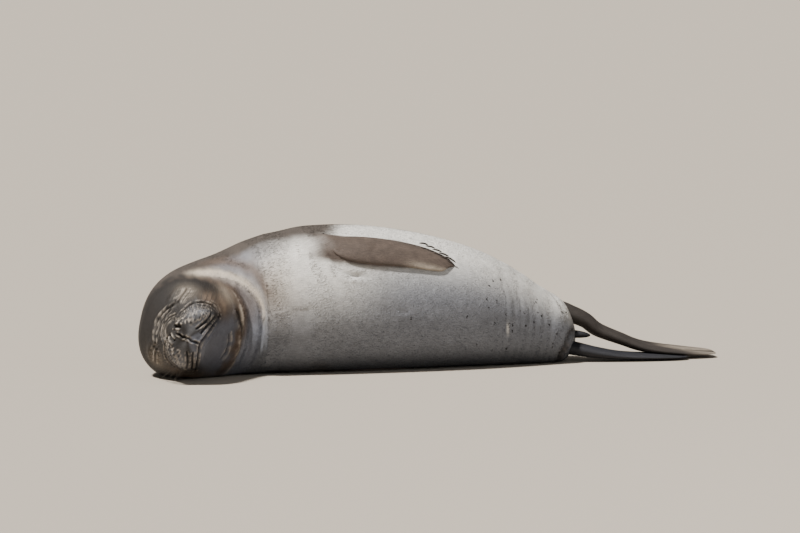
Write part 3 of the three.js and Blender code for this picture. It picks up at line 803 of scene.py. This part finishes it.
fur, tree, shader = new_material("short fur")
paint = add_node(tree, "ShaderNodeAttribute", attribute_name="coat")
place = add_node(tree, "ShaderNodeTexCoord").outputs["Object"]
clumps = add_node(tree, "ShaderNodeTexNoise", [("Vector", place)],
                  Scale=1000 / CLUMP, Detail=4.0, Roughness=0.65)
patches = add_node(tree, "ShaderNodeTexNoise", [("Vector", place)],
                   Scale=1000 / PATCH, Detail=5.0, Roughness=0.6)
unwrap = add_node(tree, "ShaderNodeUVMap", uv_map="OFBake")
stretch = add_node(tree, "ShaderNodeMapping", [("Vector", unwrap.outputs["UV"])],
                   Scale=(STREAKS_ROUND, STREAKS_ALONG, 1.0))
streaks = add_node(tree, "ShaderNodeTexNoise", [("Vector", stretch.outputs["Vector"])],
                   Scale=1.0, Detail=3.0, Roughness=0.6)
hairs = add_node(tree, "ShaderNodeMath", [(0, clumps.outputs["Fac"]), (1, streaks.outputs["Fac"])],
                 operation="ADD")
vary = add_node(tree, "ShaderNodeMapRange", [("Value", hairs.outputs["Value"])],
                From_Min=0.7, From_Max=1.3, To_Min=0.66, To_Max=1.32)
vary_broad = add_node(tree, "ShaderNodeMapRange", [("Value", patches.outputs["Fac"])],
                      From_Min=0.3, From_Max=0.7, To_Min=0.86, To_Max=1.12)
shade = add_node(tree, "ShaderNodeMath", [(0, vary.outputs["Result"]), (1, vary_broad.outputs["Result"])],
                 operation="MULTIPLY")
tinted = add_node(tree, "ShaderNodeVectorMath",
                  [(0, paint.outputs["Color"]), ("Scale", shade.outputs["Value"])], operation="SCALE")
bump = add_node(tree, "ShaderNodeBump", [("Height", hairs.outputs["Value"])], Strength=0.6, Distance=0.0016)
tree.links.new(tinted.outputs["Vector"], shader.inputs["Base Color"])
tree.links.new(bump.outputs["Normal"], shader.inputs["Normal"])
shader.inputs["Roughness"].default_value = 0.62
shader.inputs["Specular IOR Level"].default_value = 0.35
skin.data.materials.append(fur)


# Claws: five on each fore flipper, small dark wedges of horn near its far edge, drawn to a blunt tip.
# Each grows out of the end of a toe and is built over its solid claw.
LEFT_CLAW_RADIUS = 3.2
RIGHT_CLAW_RADIUS = 3.0

# Horn: hard keratin laid down in layers and worn smooth, so it is dark brown with a soft shine
horn, tree, shader = new_material("dark horn")
shader.inputs["Base Color"].default_value = (*linear("#2a2420"), 1)
shader.inputs["Roughness"].default_value = 0.35


def spindle(line, radius, flat=0.8, long=22, across=14):
    """A pointed rod along line, a little flattened."""
    def places(t, turn):
        ahead = unit(curve_at(line, np.clip(t + 0.02, 0, 1)) - curve_at(line, np.clip(t - 0.02, 0, 1)))
        side = unit(np.stack([ahead[:, 1], -ahead[:, 0], np.full(len(t), 0.001)], -1))
        rise = np.cross(side, ahead)
        r = radius * np.sin(math.pi * t) ** 0.6
        return (curve_at(line, t) + side * (r * np.cos(turn))[:, None]
                + rise * (r * flat * np.sin(turn))[:, None])
    return closed_form(places, long, across)[:2]


def left_place(t, w, lift):
    """A point over the left flipper: share t along it, w from its far edge (-1) to its near edge (1)."""
    s0, degrees = fore_axis(t)
    phi = np.radians([degrees]) + w * fore_half(t) * fore_plan(t) / FLANK_RADIUS
    s = np.array([s0 - NEAR_SWEEP * w * t])
    return (body_point(s, phi) + body_normal(s, phi) * lift)[0]


def right_top(t, off):
    """A point on top of the right flipper."""
    w = min(abs(off) / right_half(t), 0.98)
    return right_place(t, off, right_high(t) * math.sqrt(1 - w * w))


def horn_claw(side, number, line, radius):
    claw = make_mesh(f"horn_claw_{side}_{number}", *spindle(line, radius))
    claw.data.polygons.foreach_set("use_smooth", [True] * len(claw.data.polygons))
    claw.data.materials.append(horn)
    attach(claw, "root")
    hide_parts(f"claw_{side}_{number}")


for i in range(5):
    t, w = 0.74 + 0.052 * i, -0.86 + 0.08 * i
    horn_claw("left", i + 1, [left_place(t - 0.03, w + 0.1, 15 - 0.8 * i),
                              left_place(t + 0.01, w - 0.02, 14 - 0.8 * i),
                              left_place(t + 0.045, w - 0.16, 8)], LEFT_CLAW_RADIUS)
for i in range(5):
    t, off = 0.76 + 0.025 * i, 20 - 9 * i
    horn_claw("right", i + 1, [right_top(t - 0.035, off), right_top(t + 0.01, off),
                               right_top(t + 0.045, off)], RIGHT_CLAW_RADIUS)


# Whiskers: dark tapering bristles of the same horn, about a millimetre thick at the root.
# They grow in rows out of the swollen pads beside the nose and lie back over the cheek.
rng = np.random.default_rng(7)
BRISTLE_ROOT = 0.5
BRISTLE_TIP = 0.14
BRISTLE_SIDES = 5
BRISTLE_RINGS = 12


def bristle(line):
    """A closed tapering rod along line, with few sides because there are about a hundred."""
    t = np.linspace(0, 1, BRISTLE_RINGS)
    here = curve_at(line, t)
    ahead = unit(np.gradient(here, axis=0))
    side = unit(np.cross(ahead, [0.2, 0.3, 0.93]))
    rise = np.cross(side, ahead)
    r = BRISTLE_ROOT + (BRISTLE_TIP - BRISTLE_ROOT) * t
    turn = np.linspace(0, 2 * math.pi, BRISTLE_SIDES, endpoint=False)
    ring = (here[:, None] + side[:, None] * (r[:, None] * np.cos(turn))[..., None]
            + rise[:, None] * (r[:, None] * np.sin(turn))[..., None])
    faces = [tuple(reversed(face)) for face in grid_faces(0, BRISTLE_RINGS, BRISTLE_SIDES)]
    faces.append(tuple(range(BRISTLE_SIDES)))
    faces.append(tuple((BRISTLE_RINGS - 1) * BRISTLE_SIDES + j for j in reversed(range(BRISTLE_SIDES))))
    return ring.reshape(-1, 3), faces


whisker_points, whisker_faces, first = [], [], 0
for s, turned in FOLLICLES:
    sign, d = math.copysign(1, turned), abs(turned)
    run = (40 + 0.7 * s) * rng.uniform(0.75, 1.1)
    bend = rng.uniform(0.8, 1.2)
    # (s, degrees, height over the cheek) of four points, from the root to the tip
    route = np.array([(s, d, 4), (s + 0.25 * run, d - 1, 18 * bend), (s + 0.6 * run, d - 3, 21 * bend),
                      (s + run, d - 6, 17 * bend)])
    route_s, route_phi = route[:, 0], np.radians(sign * route[:, 1])
    line = body_point(route_s, route_phi) + body_normal(route_s, route_phi) * route[:, 2:]
    line[:, 2] = np.maximum(line[:, 2], 1.0)
    points, faces = bristle(line)
    whisker_points.append(points)
    whisker_faces += [tuple(i + first for i in face) for face in faces]
    first += len(points)
whiskers = make_mesh("whiskers", np.vstack(whisker_points), whisker_faces)
whiskers.data.materials.append(horn)
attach(whiskers, "root")


# Coat: short flat hairs in small thin tufts, rooted all over the skin and lying towards the tail.
# They are of the same fur as the skin and break its smooth edge. Each tuft is a closed sliver with
# three sides, shortest on the face and sinking at its foot into the skin.
TUFT_SINK = 0.5
TUFT_THICK = 0.62
TUFT_FACES = [(0, 2, 1), (0, 1, 4, 3), (1, 2, 5, 4), (2, 0, 3, 5), (3, 4, 6), (4, 5, 6), (5, 3, 6)]
TUFT_MAP = np.array([(0, 0), (1, 0), (0.5, 0.2), (0.1, 0.6), (0.9, 0.6), (0.5, 0.7), (0.5, 1)]) * 0.003
FLIPPER_CLEAR = 60
FORE_LINE = [(686, 134), (775, 137), (865, 139), (955, 143), (1044, 147)]


def tufts(name, roots, ahead, out, long, wide, colour, u, v):
    """roots, ahead, out: points and unit directions; long, wide: sizes in millimetres."""
    n = len(roots)
    side = np.cross(ahead, out)
    wide, long = wide[:, None], long[:, None]
    base = roots - out * TUFT_SINK
    half_way = roots + ahead * (long * 0.5) + out * 0.04
    tip = roots + ahead * long + out * 0.16
    verts = np.stack([base - side * wide / 2, base + side * wide / 2, base + out * TUFT_THICK,
                      half_way - side * wide * 0.4, half_way + side * wide * 0.4,
                      half_way + out * 0.22, tip], 1)
    corners = np.array([i for face in TUFT_FACES for i in face])
    loops = (corners[None] + 7 * np.arange(n)[:, None]).ravel()
    sizes = np.tile([len(face) for face in TUFT_FACES], n)
    mesh = bpy.data.meshes.new(name)
    mesh.vertices.add(7 * n)
    mesh.vertices.foreach_set("co", (verts.reshape(-1) / 1000).astype(np.float32))
    mesh.loops.add(len(loops))
    mesh.loops.foreach_set("vertex_index", loops.astype(np.int32))
    mesh.polygons.add(len(sizes))
    mesh.polygons.foreach_set("loop_start", np.concatenate([[0], np.cumsum(sizes)[:-1]]).astype(np.int32))
    mesh.update(calc_edges=True)
    mesh.validate()
    write_colour(mesh, np.repeat(colour, 7, axis=0))
    uv = (np.stack([u, v], -1)[:, None] + TUFT_MAP[None])[:, corners].reshape(-1)
    mesh.uv_layers.new(name="OFBake").data.foreach_set("uv", uv.astype(np.float32))
    mesh.materials.append(fur)
    piece = bpy.data.objects.new(name, mesh)
    bpy.context.scene.collection.objects.link(piece)
    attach(piece, "root")


def body_tufts(name, s, phi, long, wide, tint=None):
    """Tufts rooted at the places (s, phi) of the body, in the skin's colours with their painted shade and
    highlights, or all in one tint.
    """
    count = len(s)
    root, out = skin_point(s, phi)
    ahead = unit(body_point(s + 2, phi) - body_point(s - 2, phi))
    ahead = unit(ahead + np.cross(ahead, out) * rng.normal(0, 0.10, count)[:, None])
    by_flipper, _ = near(body_point(s, phi), FORE_LINE, FLIPPER_CLEAR * 1.5)
    keep = (root[:, 2] > 3) & (by_flipper > FLIPPER_CLEAR)
    length = long * rng.uniform(0.75, 1.2, count)
    width = wide * rng.uniform(0.7, 1.2, count)
    shade = rng.uniform(0.97, 1.09, count)
    colour = body_colour(s, phi, root[:, 2]) if tint is None else np.tile(tint, (count, 1))
    u, v = body_map(s, phi)
    tufts(name, root[keep], ahead[keep], out[keep], length[keep], width[keep],
          (colour * shade[:, None])[keep], u[keep] * 0.994, v[keep])


# Each piece of coat: from s, to s, number of tufts, and their length and width
COATS = [("coat_head", 40, HEAD_END, 15500, 3.5, 0.9), ("coat_neck", HEAD_END, 440, 16000, 6.0, 1.4),
         ("coat_chest", 440, 760, 16500, 8.0, 1.8), ("coat_belly", 760, 1080, 16500, 8.0, 1.8),
         ("coat_hips", 1080, 1450, 16500, 7.0, 1.6)]
for name, low, high, count, long, wide in COATS:
    body_tufts(name, rng.uniform(low, high, count), rng.uniform(-math.pi, math.pi, count),
               long, wide)

# Small dark specks in the coat of the hips and belly: ten dark tufts at each
SPECKS = 34
SPECK_TUFTS = 10
speck_s = np.concatenate([rng.uniform(1150, 1445, SPECKS), [1090, 1080, 905, 1120]])
speck_turn = np.concatenate([rng.uniform(140, 216, SPECKS), [150, 186, 190, 208]])
speck_s = np.repeat(speck_s, SPECK_TUFTS) + rng.normal(0, 1.6, SPECK_TUFTS * len(speck_s))
speck_turn = np.repeat(speck_turn, SPECK_TUFTS) + rng.normal(0, 0.7, SPECK_TUFTS * len(speck_turn))
body_tufts("coat_specks", speck_s, np.radians(speck_turn), 4.0, 2.4, SHADE_AND_SPECK_DARK * 1.5)


# Floor and light: a plain pale matt floor, which the animal rests on, under a broad soft sun.
# The sun stands above the head and a little to the belly side, and a low fill lightens the belly.
FLOOR_HALF = 90.0
FILL_PLACE = Vector((1.5, -4.5, 2.0))
FILL_AIM = Vector((0, 0, 0.2))
FILL_SIZE = 3.0
SUN_FROM = Vector((-0.46, -0.10, 0.88))

sheet = bmesh.new()
bmesh.ops.create_grid(sheet, x_segments=1, y_segments=1, size=FLOOR_HALF)
floor = bpy.data.objects.new("floor", bpy.data.meshes.new("floor"))
sheet.to_mesh(floor.data)
sheet.free()
bpy.context.scene.collection.objects.link(floor)
floor_paint, tree, shader = new_material("pale floor")
shader.inputs["Base Color"].default_value = (*linear("#a89f93"), 1)
shader.inputs["Roughness"].default_value = 0.9
floor.data.materials.append(floor_paint)


def add_light(name, kind, source, energy, colour):
    """A light that shines from the direction source."""
    light = bpy.data.objects.new(name, bpy.data.lights.new(name, kind))
    light.data.energy = energy
    light.data.color = colour
    light.rotation_euler = source.to_track_quat("Z", "Y").to_euler()
    bpy.context.scene.collection.objects.link(light)
    return light


fill = add_light("fill", "AREA", FILL_PLACE - FILL_AIM, 42, (0.93, 0.96, 1.0))
fill.location = FILL_PLACE
fill.data.size = FILL_SIZE
sun = add_light("key", "SUN", SUN_FROM, 8.0, (1.0, 0.97, 0.92))
sun.data.angle = math.radians(6)
world = bpy.data.worlds.new("studio")
world.use_nodes = True
world.node_tree.nodes["Background"].inputs["Color"].default_value = (*linear("#d5d3d0"), 1)
world.node_tree.nodes["Background"].inputs["Strength"].default_value = 0.3
bpy.context.scene.world = world
